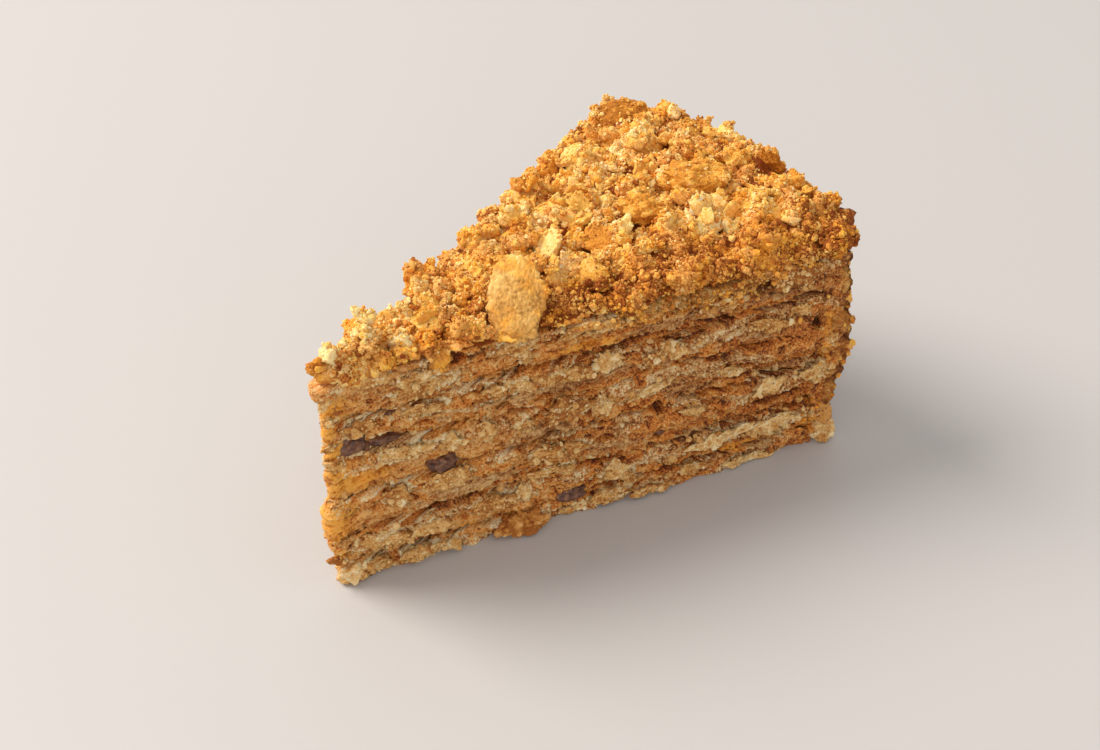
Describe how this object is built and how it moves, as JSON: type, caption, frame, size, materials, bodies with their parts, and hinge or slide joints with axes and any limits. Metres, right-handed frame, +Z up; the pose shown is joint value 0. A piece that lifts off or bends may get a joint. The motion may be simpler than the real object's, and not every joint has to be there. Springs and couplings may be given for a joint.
{
  "type": "mille feuille slice",
  "caption": "Wedge slice of layered pastry cake: flaky sheets with caramel cream between them, a crumb-coated rim and a heap of golden crumbs and broken flakes on top.",
  "frame": {"origin": "under the middle of the slice's box, on the surface that it rests on", "axes": "+X from the tip to the rim along the slice's middle plane, +Z up, and the near cut faces -Y"},
  "size_m": [0.1294, 0.0842, 0.0663],
  "materials": {
    "crumb": "golden baked pastry crumbs, from pale butter yellow to toasted brown, matte and grainy",
    "coat": "caramel cream full of pressed pastry crumbs, orange brown, rough with a faint gloss where the cream shows",
    "pastry": "pale beige flaky pastry, crumbly at the cut and darker where it has soaked",
    "cream": "caramel milk cream, orange brown with a soft low gloss",
    "flake": "broken pieces of baked pastry, pale gold with toasted edges, matte"
  },
  "bodies": {
    "root": {"crumb_topping": "crumb", "rim_coat": "coat", "pastry_1": "pastry", "pastry_2": "pastry", "pastry_3": "pastry", "pastry_4": "pastry", "pastry_5": "pastry", "pastry_6": "pastry", "cream_1": "cream", "cream_2": "cream", "cream_3": "cream", "cream_4": "cream", "cream_5": "cream", "topping_flake_front": "flake", "topping_chunk_middle": "flake", "topping_chunk_yellow": "flake", "topping_chunk_back": "flake", "topping_chunk_side": "flake", "topping_flake_back": "flake"}
  },
  "joints": []
}
